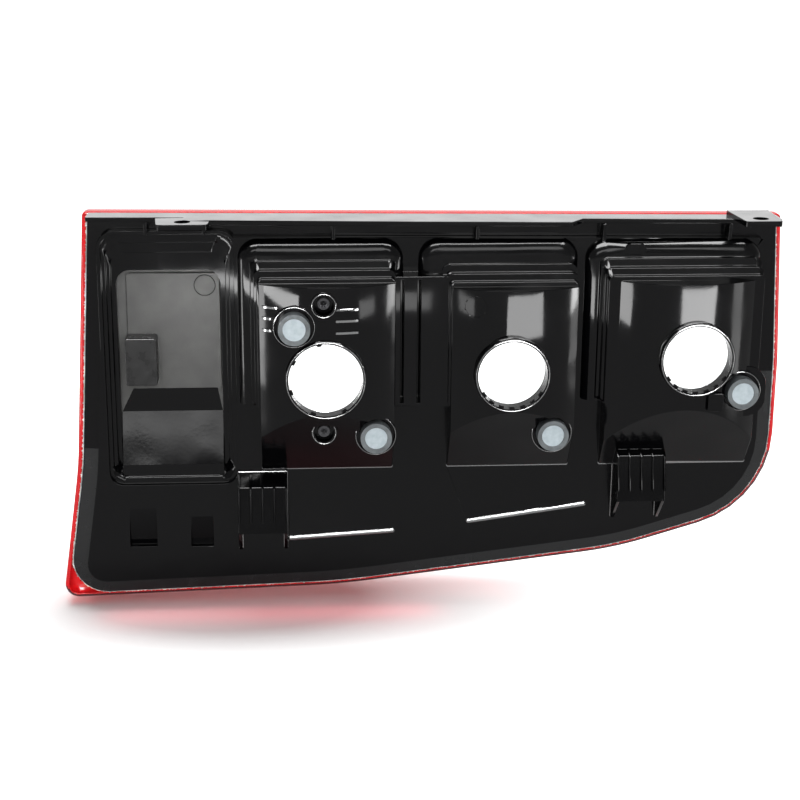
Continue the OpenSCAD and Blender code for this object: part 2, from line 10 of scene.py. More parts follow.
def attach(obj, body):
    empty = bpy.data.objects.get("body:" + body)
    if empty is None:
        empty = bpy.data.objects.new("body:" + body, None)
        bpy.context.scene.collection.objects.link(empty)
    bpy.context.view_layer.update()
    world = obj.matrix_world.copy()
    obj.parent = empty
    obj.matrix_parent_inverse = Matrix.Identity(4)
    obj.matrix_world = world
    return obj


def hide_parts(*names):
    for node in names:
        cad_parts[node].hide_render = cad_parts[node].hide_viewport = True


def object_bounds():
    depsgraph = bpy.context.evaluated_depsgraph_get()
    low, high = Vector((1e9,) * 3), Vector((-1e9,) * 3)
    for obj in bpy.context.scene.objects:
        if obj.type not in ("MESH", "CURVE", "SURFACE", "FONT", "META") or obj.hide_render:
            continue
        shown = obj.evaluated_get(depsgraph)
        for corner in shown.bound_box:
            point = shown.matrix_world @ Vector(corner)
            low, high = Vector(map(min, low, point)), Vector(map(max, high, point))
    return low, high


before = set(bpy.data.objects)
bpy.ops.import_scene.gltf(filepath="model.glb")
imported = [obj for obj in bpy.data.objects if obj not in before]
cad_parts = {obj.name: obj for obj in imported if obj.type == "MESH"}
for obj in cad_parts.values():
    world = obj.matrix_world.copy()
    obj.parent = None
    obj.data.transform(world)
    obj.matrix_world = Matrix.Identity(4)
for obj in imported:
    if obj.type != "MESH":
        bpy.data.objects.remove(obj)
cad_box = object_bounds()

MM = 0.001
HOLES_BEHIND_SEAM = 31.0
ON_LEVEL = 0.01


def place(u, v, w):
    """A point of the lamp, given in mm along it, up across it and behind its seam."""
    return Vector((u, HOLES_BEHIND_SEAM - w, v)) * MM


def level_of(point):
    """Level behind the seam in mm."""
    return HOLES_BEHIND_SEAM - point.y / MM


# Finishes


class Finish:
    """A procedural material, built outwards from its main shader."""

    def __init__(self, name, colour, roughness, **sockets):
        self.material = bpy.data.materials.new(name)
        self.material.use_nodes = True
        self.tree = self.material.node_tree
        self.shader = self.tree.nodes["Principled BSDF"]
        self.shader.inputs["Base Color"].default_value = (*colour, 1)
        self.shader.inputs["Roughness"].default_value = roughness
        for socket, value in sockets.items():
            self.shader.inputs[socket.replace("_", " ")].default_value = value
        self.where = self.tree.nodes.new("ShaderNodeTexCoord").outputs["Object"]

    def join(self, value, socket):
        """Links a socket or sets a plain value."""
        if isinstance(value, bpy.types.NodeSocket):
            self.tree.links.new(value, socket)
        else:
            socket.default_value = value

    def node(self, kind, inputs, **settings):
        made = self.tree.nodes.new("ShaderNode" + kind)
        for key, value in settings.items():
            setattr(made, key, value)
        for key, value in inputs.items():
            self.join(value, made.inputs[key])
        return made

    def noise(self, size, detail=2.0):
        """Soft noise whose patches measure about size mm."""
        inputs = {"Vector": self.where, "Scale": 1 / (size * MM), "Detail": detail}
        return self.node("TexNoise", inputs).outputs["Fac"]

    def spread(self, value, low, high, start=0.35, end=0.65):
        """Maps the share of value between start and end to low and high."""
        return self.node("MapRange", {
            "Value": value, "From Min": start, "From Max": end, "To Min": low, "To Max": high,
        }).outputs["Result"]

    def blended(self, share, first, second):
        """A colour between two others."""
        ramp = self.tree.nodes.new("ShaderNodeValToRGB")
        ramp.color_ramp.elements[0].color = (*first, 1)
        ramp.color_ramp.elements[1].color = (*second, 1)
        self.join(self.spread(share, 0.0, 1.0), ramp.inputs["Fac"])
        return ramp.outputs["Color"]

    def relief(self, height, depth, under=None):
        """Bumps of a depth in mm, over those that lie under them."""
        inputs = {"Height": height, "Strength": 1.0, "Distance": depth * MM}
        if under is not None:
            inputs["Normal"] = under
        return self.node("Bump", inputs).outputs["Normal"]

    def lets_lamps_through(self, tint):
        """Light from lamps passes with a tint, as through thin clear plastic."""
        output = self.tree.nodes["Material Output"]
        passes = self.node("BsdfTransparent", {"Color": (*tint, 1)})
        path = self.tree.nodes.new("ShaderNodeLightPath")
        mix = self.tree.nodes.new("ShaderNodeMixShader")
        self.join(path.outputs["Is Shadow Ray"], mix.inputs[0])
        self.join(self.shader.outputs[0], mix.inputs[1])
        self.join(passes.outputs[0], mix.inputs[2])
        self.join(mix.outputs[0], output.inputs["Surface"])

    def shows(self, socket, value):
        self.join(value, self.shader.inputs[socket])

    def mottled(self, size, detail, first, second):
        """The colour wanders between two colours over patches of a size in mm."""
        self.shows("Base Color", self.blended(self.noise(size, detail), first, second))

    def dulled(self, size, detail, low, high):
        """The roughness wanders between two values over patches of a size in mm."""
        self.shows("Roughness", self.spread(self.noise(size, detail), low, high))

    def uneven(self, size, detail, depth):
        """The surface has soft bumps of a size and a depth in mm."""
        self.shows("Normal", self.relief(self.noise(size, detail), depth))


def gloss_black():
    made = Finish("housing_gloss_black", (0.0012, 0.0012, 0.0015), 0.1, Specular_IOR_Level=0.08)
    made.dulled(34, 3.0, 0.07, 0.16)
    sinks = made.relief(made.noise(38, 1.0), 0.7)
    made.shows("Normal", made.relief(made.noise(2.4), 0.012, sinks))
    return made.material


def painted_reflection_black():
    # Painted reflection: a lighter copy of the housing black, put on the lower flange face where
    # it reflects the floor.
    made = Finish("lower_flange_painted_reflection", (0.004, 0.0045, 0.005), 0.2, Specular_IOR_Level=0.22)
    made.dulled(9, 3.0, 0.12, 0.3)
    made.uneven(7, 2.0, 0.25)
    return made.material


def painted_sheen_black():
    # Painted sheen: a lighter, glossier copy of the housing black, put on faces that catch the
    # light.
    made = Finish("upper_edge_painted_sheen_black", (0.02, 0.021, 0.022), 0.12, Specular_IOR_Level=1.0)
    made.dulled(20, 3.0, 0.08, 0.22)
    made.shows("Coat Weight", made.spread(made.noise(30, 2.0), 0.6, 1.0))
    return made.material


def grained_black():
    made = Finish("recess_grained_black", (0.03, 0.03, 0.029), 0.55, Specular_IOR_Level=0.25)
    made.mottled(16, 4.0, (0.024, 0.024, 0.023), (0.038, 0.038, 0.036))
    made.uneven(0.5, 3.0, 0.06)
    return made.material


def red_acrylic():
    made = Finish(
        "lens_red_acrylic", (0.7, 0.012, 0.016), 0.07,
        IOR=1.49, Transmission_Weight=0.2, Specular_IOR_Level=0.07,
    )
    made.mottled(30, 2.0, (0.66, 0.010, 0.014), (0.76, 0.014, 0.018))
    made.uneven(60, 1.0, 0.25)
    made.lets_lamps_through((0.4, 0.03, 0.04))
    return made.material


def lip_painted_shade_red():
    # Painted shade: a dark red for the lens faces near the rim that lean down and lie in shade.
    made = Finish("lens_lip_painted_shade", (0.05, 0.008, 0.01), 0.12, IOR=1.49, Specular_IOR_Level=0.4)
    made.dulled(14, 2.0, 0.08, 0.2)
    return made.material


def reflex_acrylic():
    made = Finish(
        "reflex_red_acrylic", (0.8, 0.02, 0.02), 0.05,
        IOR=1.49, Transmission_Weight=0.6, Specular_IOR_Level=0.4,
    )
    made.uneven(50, 1.0, 0.15)
    made.lets_lamps_through((0.95, 0.15, 0.12))
    return made.material


def clear_acrylic():
    made = Finish(
        "window_clear_acrylic", (0.96, 0.97, 0.97), 0.03, IOR=1.49, Transmission_Weight=1.0
    )
    made.uneven(40, 1.0, 0.2)
    made.lets_lamps_through((0.93, 0.94, 0.94))
    return made.material


def vacuum_chrome():
    made = Finish("reflector_vacuum_chrome", (0.9, 0.9, 0.91), 0.08, Metallic=1.0)
    made.dulled(9, 3.0, 0.05, 0.13)
    made.uneven(14, 1.0, 0.12)
    return made.material


def hot_melt():
    made = Finish("sealant_hot_melt", (0.30, 0.30, 0.29), 0.1, IOR=1.5, Coat_Weight=0.6)
    made.mottled(8, 3.0, (0.34, 0.34, 0.33), (0.7, 0.69, 0.66))
    made.uneven(3.2, 2.0, 0.8)
    return made.material


def vent_rubber():
    made = Finish("vent_cap_rubber", (0.075, 0.085, 0.09), 0.3, Specular_IOR_Level=0.5)
    made.mottled(6, 3.0, (0.05, 0.058, 0.063), (0.1, 0.113, 0.12))
    made.uneven(0.7, 3.0, 0.03)
    return made.material


def vent_membrane():
    made = Finish("vent_membrane_fibre", (0.36, 0.42, 0.45), 0.6, Specular_IOR_Level=0.3)
    made.mottled(3.5, 3.0, (0.33, 0.39, 0.42), (0.40, 0.46, 0.49))
    made.uneven(0.35, 4.0, 0.05)
    return made.material


def dark_zinc():
    made = Finish("screw_dark_zinc", (0.035, 0.035, 0.037), 0.36, Metallic=1.0)
    made.dulled(1.5, 3.0, 0.25, 0.5)
    made.uneven(0.4, 3.0, 0.02)
    return made.material


def satin_black():
    made = Finish("clip_satin_black", (0.006, 0.006, 0.006), 0.3, Specular_IOR_Level=0.2)
    made.dulled(6, 3.0, 0.24, 0.4)
    made.uneven(0.6, 3.0, 0.02)
    return made.material


# Pieces that keep the shape of their solid


FLAT_TURN = math.radians(0.6)
SHARP_TURN = math.radians(28)
SHORTEST = 0.001
LEAST_LENGTH = 0.6
ROOM_FOR_ROUNDING = 3.2
EVEN_WEIGHT = 80


def merged(node):
    """A copy of a solid's mesh with its points joined and its triangles paired."""
    shape = bmesh.new()
    shape.from_mesh(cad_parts[node].data)
    bmesh.ops.remove_doubles(shape, verts=shape.verts, dist=1e-6)
    bmesh.ops.join_triangles(
        shape, faces=shape.faces, angle_face_threshold=FLAT_TURN, angle_shape_threshold=math.pi
    )
    return shape


def make_piece(name, shape, *materials):
    mesh = bpy.data.meshes.new(name)
    shape.to_mesh(mesh)
    shape.free()
    for material in materials:
        mesh.materials.append(material)
    piece = bpy.data.objects.new(name, mesh)
    bpy.context.scene.collection.objects.link(piece)
    return piece


def stand_for(piece, slot, *nodes):
    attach(piece, "root")
    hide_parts(*nodes)


def flat_widths(shape):
    """For each face, the width of the flat region round it, if it were a long strip."""
    widths = {}
    for first in shape.faces:
        if first in widths:
            continue
        region, waiting, border = {first}, [first], 0.0
        while waiting:
            for edge in waiting.pop().edges:
                if not edge.is_manifold or edge.calc_face_angle(0) > FLAT_TURN:
                    border += edge.calc_length()
                    continue
                new = set(edge.link_faces) - region
                region |= new
                waiting.extend(new)
        width = 2 * sum(f.calc_area() for f in region) / max(border, SHORTEST * MM)
        widths.update({f: width for f in region})
    return widths


def sharp_edges(shape, width):
    """Edges that are long enough to show and whose faces have room for a rounding."""
    widths = flat_widths(shape)
    return [
        e for e in shape.edges
        if e.is_manifold and e.calc_length() > LEAST_LENGTH * MM
        and e.calc_face_angle(0) > SHARP_TURN
        and min(widths[f] for f in e.link_faces) > ROOM_FOR_ROUNDING * width * MM
    ]


def soften(shape, edges, width, segments=2):
    bmesh.ops.bevel(
        shape, geom=edges, offset=width * MM, offset_type="OFFSET", segments=segments,
        profile=0.5, affect="EDGES", clamp_overlap=False, miter_outer="ARC", miter_inner="SHARP",
    )


def smooth_by_turn(piece, turn=32):
    """Smooth shading that keeps flat faces flat beside their rounded edges."""
    piece.data.shade_smooth()
    piece.data.set_sharp_from_angle(angle=math.radians(turn))
    even = piece.modifiers.new("flat_faces_stay_flat", "WEIGHTED_NORMAL")
    even.keep_sharp = True
    even.weight = EVEN_WEIGHT


def dressed(node, slot, material, width=0.3):
    shape = merged(node)
    soften(shape, sharp_edges(shape, width), width)
    piece = make_piece(node + "_finished", shape, material)
    smooth_by_turn(piece)
    stand_for(piece, slot, node)


# The housing: the recess panel, the chambers with their middles and widths, the flats,
# the main face and flange, the raised ridges and the lines across the left chamber

GLOSS, GRAIN, PAINTED_REFLECTION, PAINTED_SHEEN = range(4)
PANEL_U, PANEL_V, PANEL_W = (-228, -158), (-120, -38), (-5.2, -1.5)
CHAMBERS = ((-91.5, 85), (27, 80), (137, 98))
CHAMBER_ROUND, CHAMBER_AXIS_LEVEL = 78.0, -37.0
NEAR_ROUND, ALONG_ROUND = 0.2, 0.998
WIDE_FLAT = 3.0
FLANGE_LEVEL, LAND_LEVEL = 3.0, 10.0
HOUSING_ROUNDING, LAND_ROUNDING = 0.4, 1.3
UPPER_EDGE_V = -4.2
# Below this height the flange carries the painted reflection and the rounded edge of the main face
# the painted sheen.
PAINTED_BELOW_V = -120
RIDGES_BELOW_V, RIDGE_FOOT, RIDGE_HEIGHT = -150, 0.02, 1.3
FACE_LINES, FACE_LINE_W, FACE_LINE_H, FACE_LINE_REACH = (-54, -61.2, -68.8), 1.5, 0.75, 42


def stands_out(middle):
    """Whether a face lies on a raised ridge or on a line across the left chamber."""
    along, up, level = middle.x / MM, middle.z / MM, level_of(middle)
    if up < RIDGES_BELOW_V:
        return RIDGE_FOOT < level - LAND_LEVEL < RIDGE_HEIGHT
    along -= CHAMBERS[0][0]
    above_round = math.hypot(along, level - CHAMBER_AXIS_LEVEL) - CHAMBER_ROUND
    return (
        any(abs(up - line) < FACE_LINE_W / 2 for line in FACE_LINES)
        and abs(above_round - FACE_LINE_H) < NEAR_ROUND and abs(along) < FACE_LINE_REACH
    )


def rounds_land(face, middle):
    """Whether a face belongs to the rounded lower edge of the main face."""
    below = LAND_LEVEL - level_of(middle)
    faces_down = face.normal.z < -0.1 and middle.z < PAINTED_BELOW_V * MM
    return ON_LEVEL < below < LAND_ROUNDING and faces_down


def bounds_land(edge):
    """Whether an edge lies between the main face and the step down to the flange."""
    if any(abs(level_of(p.co) - LAND_LEVEL) > ON_LEVEL for p in edge.verts):
        return False
    steps = [f for f in edge.link_faces if abs(f.normal.y) < 0.2]
    return any(abs(level_of(p.co) - FLANGE_LEVEL) < ON_LEVEL for f in steps for p in f.verts)


def tag_wide_flats(shape):
    """Marks the faces of wide flat regions, which keep their own normal."""
    mark = shape.faces.layers.int.new("wide_flat")
    widths = flat_widths(shape)
    for face in shape.faces:
        face[mark] = widths[face] > WIDE_FLAT * MM


def chamber_normal(point, normal):
    """The true normal at a point of a chamber's round back, if the face lies on one."""
    along, level = point.x / MM, level_of(point)
    for middle, width in CHAMBERS:
        out = Vector((along - middle, CHAMBER_AXIS_LEVEL - level, 0))
        inside = abs(along - middle) < width / 2 + 0.5
        on_round = inside and abs(out.length - CHAMBER_ROUND) < NEAR_ROUND
        if on_round and out.normalized().dot(normal) > ALONG_ROUND:
            return out.normalized()
    return None


def shade_exactly(piece):
    """Keeps the even shading, with true normals on the round backs and on wide flats."""
    view = bpy.context.evaluated_depsgraph_get()
    mesh = bpy.data.meshes.new_from_object(piece.evaluated_get(view))
    piece.modifiers.clear()
    normals = [n.vector.copy() for n in mesh.corner_normals]
    flat = mesh.attributes["wide_flat"].data
    for face in mesh.polygons:
        for corner in face.loop_indices:
            point = mesh.vertices[mesh.loops[corner].vertex_index].co
            true = chamber_normal(point, face.normal)
            if true is None and flat[face.index].value:
                true = face.normal
            if true is not None:
                normals[corner] = true
    mesh.normals_split_custom_set(normals)
    piece.data = mesh


def dress_housing(gloss, grain, painted_reflection, painted_sheen):
    """The housing, with its grained recess panel, painted reflection on its lower flange face and
    painted sheen on its upper edge, raised ridges, chamber lines and rounded lower edge of the
    main face.
    """
    shape = merged("rear_housing")
    small = [e for e in sharp_edges(shape, HOUSING_ROUNDING) if not bounds_land(e)]
    soften(shape, small, HOUSING_ROUNDING)
    soften(shape, [e for e in shape.edges if e.is_manifold and bounds_land(e)], LAND_ROUNDING, 3)
    low = place(PANEL_U[0], PANEL_V[0], PANEL_W[1])
    high = place(PANEL_U[1], PANEL_V[1], PANEL_W[0])
    for face in shape.faces:
        middle = face.calc_center_median()
        on_flange = abs(level_of(middle) - FLANGE_LEVEL) < 0.05 and face.normal.y < -0.9
        on_upper_edge = face.normal.z > 0.9 and middle.z > UPPER_EDGE_V * MM
        if all(low[i] < middle[i] < high[i] for i in range(3)):
            face.material_index = GRAIN
        # Flange faces low on the housing get a lighter copy of the black: a painted reflection of
        # the floor.
        elif on_flange and middle.z < PAINTED_BELOW_V * MM:
            face.material_index = PAINTED_REFLECTION
        # The upper edge, the raised ridges, the lines across the left chamber and the rounded
        # lower edge of the main face get the lighter, glossier black: painted sheen.
        elif on_upper_edge or stands_out(middle) or rounds_land(face, middle):
            face.material_index = PAINTED_SHEEN
    tag_wide_flats(shape)
    piece = make_piece("rear_housing_finished", shape, gloss, grain, painted_reflection, painted_sheen)
    smooth_by_turn(piece)
    shade_exactly(piece)
    stand_for(piece, "housing_plastic", "rear_housing")


RIM_LEVEL, LIP_LEVEL = 1.5, -1.0
RIM_ROUNDING = 2.2


def is_outer_rim(edge, level, middle):
    """Whether an edge lies between the rim's back and its outer side."""
    backs = [f for f in edge.link_faces if f.normal.y < -0.9]
    sides = [f for f in edge.link_faces if abs(f.normal.y) < 0.3]
    return (
        len(backs) == 1 and len(sides) == 1
        and all(abs(p.co.y - level) < ON_LEVEL * MM for p in edge.verts)
        and sides[0].normal.dot(edge.verts[0].co - middle) > 0
    )


def dress_lens(red, dark):
    """The lens, with a full rounding on the outer edge of its rim; its faces near the rim that
    lean down are painted a darker red as shade.
    """
    shape = merged("outer_lens")
    level = place(0, 0, RIM_LEVEL).y
    middle = sum((p.co for p in shape.verts), Vector()) / len(shape.verts)
    outer = [e for e in shape.edges if is_outer_rim(e, level, middle)]
    soften(shape, outer, RIM_ROUNDING, 4)
    # Faces near the rim that lean down get the dark red: painted shade.
    for face in shape.faces:
        leans_down = abs(face.normal.y) < 0.995 and face.normal.z < -0.05
        if leans_down and level_of(face.calc_center_median()) > LIP_LEVEL:
            face.material_index = 1
    piece = make_piece("outer_lens_finished", shape, red, dark)
    smooth_by_turn(piece)
    stand_for(piece, "red_lens", "outer_lens")


# Parts that repeat, made by Geometry Nodes


class Growth:
    """A Geometry Nodes tree with named sizes, run once on a piece."""

    def __init__(self, name, **sizes):
        self.tree = bpy.data.node_groups.new(name, "GeometryNodeTree")
        sockets = self.tree.interface
        sockets.new_socket("Geometry", in_out="INPUT", socket_type="NodeSocketGeometry")
        sockets.new_socket("Geometry", in_out="OUTPUT", socket_type="NodeSocketGeometry")
        self.sizes = {}
        for label, value in sizes.items():
            kind = "NodeSocketInt" if isinstance(value, int) else "NodeSocketFloat"
            socket = sockets.new_socket(label, in_out="INPUT", socket_type=kind)
            self.sizes[socket.identifier] = value
        self.given = self.tree.nodes.new("NodeGroupInput").outputs
        self.result = self.tree.nodes.new("NodeGroupOutput").inputs

    def node(self, kind, inputs, **settings):
        made = self.tree.nodes.new(kind)
        for key, value in settings.items():
            setattr(made, key, value)
        for key, value in inputs.items():
            if isinstance(value, bpy.types.NodeSocket):
                self.tree.links.new(value, made.inputs[key])
            else:
                made.inputs[key].default_value = value
        return made.outputs

    def times(self, value, factor):
        return self.node("ShaderNodeMath", {0: value, 1: factor}, operation="MULTIPLY")["Value"]

    def metres(self, size):
        """One of the named sizes, which are in mm."""
        return self.times(self.given[size], MM)

    def seated(self, geometry, place_at):
        """The geometry set upright, with its middle at a place."""
        return self.node("GeometryNodeTransform", {
            "Geometry": geometry, "Translation": place_at, "Rotation": (math.pi / 2, 0, 0),
        })["Geometry"]

    def joined(self, *parts):
        both = self.tree.nodes.new("GeometryNodeJoinGeometry")
        for part in parts:
            self.tree.links.new(part, both.inputs["Geometry"])
        return both.outputs["Geometry"]

    def random(self, low, high, seed):
        inputs = {"Min": low, "Max": high, "Seed": seed}
        return self.node("FunctionNodeRandomValue", inputs, data_type="FLOAT_VECTOR")["Value"]

    def bake(self, piece, geometry, material):
        """Ends the tree in plain mesh, runs it and leaves only the result in the piece."""
        whole = self.node("GeometryNodeRealizeInstances", {"Geometry": geometry})["Geometry"]
        coloured = self.node("GeometryNodeSetMaterial", {"Geometry": whole, "Material": material})
        self.tree.links.new(coloured["Geometry"], self.result["Geometry"])
        modifier = piece.modifiers.new(self.tree.name, "NODES")
        modifier.node_group = self.tree
        for key, value in self.sizes.items():
            modifier[key] = value
        view = bpy.context.evaluated_depsgraph_get()
        mesh = bpy.data.meshes.new_from_object(piece.evaluated_get(view))
        piece.modifiers.remove(modifier)
        piece.data = mesh


DROPS_BEHIND_LEVEL = 1.2


def sealant_with_drops(material):
    """The sealant bead, with the small drops that stand out of the seam."""
    piece = make_piece("sealant_bead_finished", merged("sealant_bead"), material)
    grow = Growth("sealant_drops", Drops_Per_Square_Mm=1.1, Drop_Radius=0.65, Seed=7)
    where = grow.node("GeometryNodeInputPosition", {})["Position"]
    depth = grow.node("ShaderNodeSeparateXYZ", {"Vector": where})["Y"]
    in_seam = grow.node("FunctionNodeCompare", {
        0: depth, 1: place(0, 0, DROPS_BEHIND_LEVEL).y,
    }, data_type="FLOAT", operation="LESS_THAN")["Result"]
    points = grow.node("GeometryNodeDistributePointsOnFaces", {
        "Mesh": grow.given["Geometry"], "Selection": in_seam, "Seed": grow.given["Seed"],
        "Density": grow.times(grow.given["Drops_Per_Square_Mm"], 1 / MM ** 2),
    })["Points"]
    drop = grow.node("GeometryNodeMeshIcoSphere", {
        "Radius": grow.metres("Drop_Radius"), "Subdivisions": 2,
    })["Mesh"]
    drops = grow.node("GeometryNodeInstanceOnPoints", {
        "Points": points, "Instance": drop,
        "Scale": grow.random((0.4, 0.4, 0.4), (1.5, 1.0, 1.0), 3),
        "Rotation": grow.random((0, 0, 0), (0, 6.28, 0), 5),
    })["Instances"]
    grow.bake(piece, grow.joined(drops, grow.given["Geometry"]), material)
    smooth_by_turn(piece, 50)
    stand_for(piece, "sealant", "sealant_bead")


TOOTH = Vector((1.6, 1.6, 3.2))
RING_LINE = 0.32


def add_to_housing(piece):
    """A small moulded form that the solid of the housing doesn't have."""
    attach(piece, "root")


def hole_teeth(name, middle, radius, first, sweep, count, material):
    """Small teeth inside the rim of a bulb holder hole, over part of its round."""
    piece = make_piece(name, bmesh.new(), material)
    grow = Growth(
        "teeth_round_a_hole", Hole_Radius=float(radius), First_Angle=math.radians(first),
        Sweep=math.radians(sweep), Teeth=count,
    )
    arc = grow.node("GeometryNodeCurveArc", {
        "Resolution": 64, "Radius": grow.metres("Hole_Radius"),
        "Start Angle": grow.given["First_Angle"], "Sweep Angle": grow.given["Sweep"],
    }, mode="RADIUS")["Curve"]
    stands = grow.node(
        "GeometryNodeCurveToPoints", {"Curve": arc, "Count": grow.given["Teeth"]}, mode="COUNT"
    )
    tooth = grow.node("GeometryNodeMeshCube", {"Size": TOOTH * MM})["Mesh"]
    teeth = grow.node("GeometryNodeInstanceOnPoints", {
        "Points": stands["Points"], "Instance": tooth, "Rotation": stands["Rotation"],
    })["Instances"]
    grow.bake(piece, grow.seated(teeth, middle), material)
    add_to_housing(piece)


def moulded_ring(name, middle, radius, material):
    """A thin raised line round a hole or a vent."""
    piece = make_piece(name, bmesh.new(), material)
    grow = Growth("moulded_ring", Ring_Radius=float(radius), Line_Radius=RING_LINE)
    line, section = (
        grow.node("GeometryNodeCurvePrimitiveCircle", {
            "Resolution": steps, "Radius": grow.metres(size),
        }, mode="RADIUS")["Curve"]
        for steps, size in ((96, "Ring_Radius"), (12, "Line_Radius"))
    )
    ring = grow.node("GeometryNodeCurveToMesh", {"Curve": line, "Profile Curve": section})["Mesh"]
    grow.bake(piece, grow.seated(ring, middle), material)
    piece.data.shade_smooth()
    add_to_housing(piece)


PRISM_PITCH, PRISM_HEIGHT, PRISM_CORNERS = 2.8, 1.2, 6
PRISM_FOOT, PRISM_TOP = 0.6, 0.05
FIELD_ALONG, FIELD_UP = 0.93, 0.95
FIELD_SIGHT, FIELD_REACH = 0.045, 0.3
WINDOW_ROUNDING = 0.2


def dress_reflex_panel(material):
    """The reflex field of the lens, with prisms on its inner face where rays meet it."""
    shape = merged("reflex_panel")
    soften(shape, sharp_edges(shape, WINDOW_ROUNDING), WINDOW_ROUNDING)
    piece = make_piece("reflex_panel_finished", shape, material)
    low, high = (Vector(f(p[i] for p in piece.bound_box) for i in range(3)) for f in (min, max))
    along, up = (high.x - low.x) * FIELD_ALONG, (high.z - low.z) * FIELD_UP
    middle = (low + high) / 2
    grow = Growth(
        "optics_on_inner_face", Pitch=PRISM_PITCH, Height=PRISM_HEIGHT, Corners=PRISM_CORNERS
    )
    grid = grow.node("GeometryNodeMeshGrid", {
        "Size X": along, "Vertices X": round(along / (PRISM_PITCH * MM)),
        "Size Y": up, "Vertices Y": round(up / (PRISM_PITCH * MM)),
    })["Mesh"]
    placed = grow.seated(grid, (middle.x, low.y - FIELD_SIGHT, middle.z))
    hit = grow.node("GeometryNodeRaycast", {
        "Target Geometry": grow.given["Geometry"], "Ray Direction": (0, 1, 0),
        "Ray Length": FIELD_REACH,
    })
    missed = grow.node("FunctionNodeBooleanMath", {0: hit["Is Hit"]}, operation="NOT")["Boolean"]
    kept = grow.node("GeometryNodeDeleteGeometry", {
        "Geometry": placed, "Selection": missed,
    })["Geometry"]
    facing = grow.node(
        "FunctionNodeAlignRotationToVector", {"Vector": hit["Hit Normal"]}, axis="Z"
    )
    prism = grow.node("GeometryNodeMeshCone", {
        "Vertices": grow.given["Corners"],
        "Radius Top": grow.times(grow.given["Pitch"], PRISM_TOP * MM),
        "Radius Bottom": grow.times(grow.given["Pitch"], PRISM_FOOT * MM),
        "Depth": grow.metres("Height"),
    })["Mesh"]
    prisms = grow.node("GeometryNodeInstanceOnPoints", {
        "Points": kept, "Instance": prism, "Rotation": facing["Rotation"],
    })["Instances"]
    on_face = grow.node("GeometryNodeSetPosition", {
        "Geometry": prisms, "Position": hit["Hit Position"],
    })["Geometry"]
    grow.bake(piece, grow.joined(on_face, grow.given["Geometry"]), material)
    smooth_by_turn(piece, 20)
    stand_for(piece, "red_lens", "reflex_panel")


# Camera, lamps and floor

VIEW_AZIMUTH, VIEW_ELEVATION, VIEW_ROLL = -4.0, 17.0, 0.425
VIEW_AIM = Vector((-0.043418, 0.031, -0.12513))
VIEW_DISTANCE = 1.1
VIEW_FOCAL = 75.42


def make_camera():
    azimuth, elevation, roll = map(math.radians, (VIEW_AZIMUTH, VIEW_ELEVATION, VIEW_ROLL))
    back = Vector((
        math.sin(azimuth) * math.cos(elevation),
        -math.cos(azimuth) * math.cos(elevation),
        math.sin(elevation),
    ))
    right = Vector((math.cos(azimuth), math.sin(azimuth), 0))
    up = back.cross(right)
    turned = (
        right * math.cos(roll) + up * math.sin(roll),
        up * math.cos(roll) - right * math.sin(roll),
        back,
    )
    camera = bpy.data.objects.new("camera", bpy.data.cameras.new("camera"))
    camera.data.lens = VIEW_FOCAL
    camera.data.clip_start, camera.data.clip_end = 0.05, 60
    camera.matrix_world = (
        Matrix.Translation(VIEW_AIM + back * VIEW_DISTANCE)
        @ Matrix(turned).transposed().to_4x4()
    )
    bpy.context.scene.collection.objects.link(camera)
    bpy.context.scene.camera = camera


WHITE = (1, 1, 1)


def make_lamp(name, missed_by, at, aim, width, height, radiance, colour=WHITE):
    """A softbox that points from one place to another and looks as bright as its radiance."""
    light = bpy.data.lights.new(name, "AREA")
    light.shape = "RECTANGLE"
    light.size, light.size_y = width, height
    light.energy = radiance * math.pi * width * height
    light.color = colour
    lamp = bpy.data.objects.new(name, light)
    lamp.location = at
    lamp.rotation_mode = "QUATERNION"
    lamp.rotation_quaternion = (Vector(aim) - Vector(at)).to_track_quat("-Z", "Y")
    lamp.visible_camera = False
    lamp.visible_diffuse = missed_by != "diffuse"
    lamp.visible_glossy = missed_by != "glossy"
    bpy.context.scene.collection.objects.link(lamp)
    return lamp


def seen_plainly(tree):
    """1 for rays from the camera, from gloss and through clear plastic, 0 for light."""
    path = tree.nodes.new("ShaderNodeLightPath")
    seen = path.outputs["Is Camera Ray"]
    for kind in ("Is Transmission Ray", "Is Glossy Ray"):
        either = tree.nodes.new("ShaderNodeMath")
        either.operation = "MAXIMUM"
        tree.links.new(seen, either.inputs[0])
        tree.links.new(path.outputs[kind], either.inputs[1])
        seen = either.outputs[0]
    return seen


LIGHT_OF_ROOM = 0.38


def make_world():
    """A white room that lights the lamp less than it shows behind it."""
    world = bpy.data.worlds.new("studio")
    world.use_nodes = True
    bpy.context.scene.world = world
    nodes, links = world.node_tree.nodes, world.node_tree.links
    strength = nodes.new("ShaderNodeMapRange")
    strength.inputs["To Min"].default_value = LIGHT_OF_ROOM
    strength.inputs["To Max"].default_value = 1.0
    links.new(seen_plainly(world.node_tree), strength.inputs["Value"])
    links.new(strength.outputs["Result"], nodes["Background"].inputs["Strength"])
    nodes["Background"].inputs["Color"].default_value = (1, 1, 1, 1)


FLOOR_GAP, FLOOR_HALF = 6.0, 25
SHADOW_SHIFT, SHADOW_STRETCH = (0.08, -0.03, 0), (0.5, 1, 0)
SHADOW_NEAR, SHADOW_FAR, FLOOR_LIFT = 0.045, 0.11, 0.85


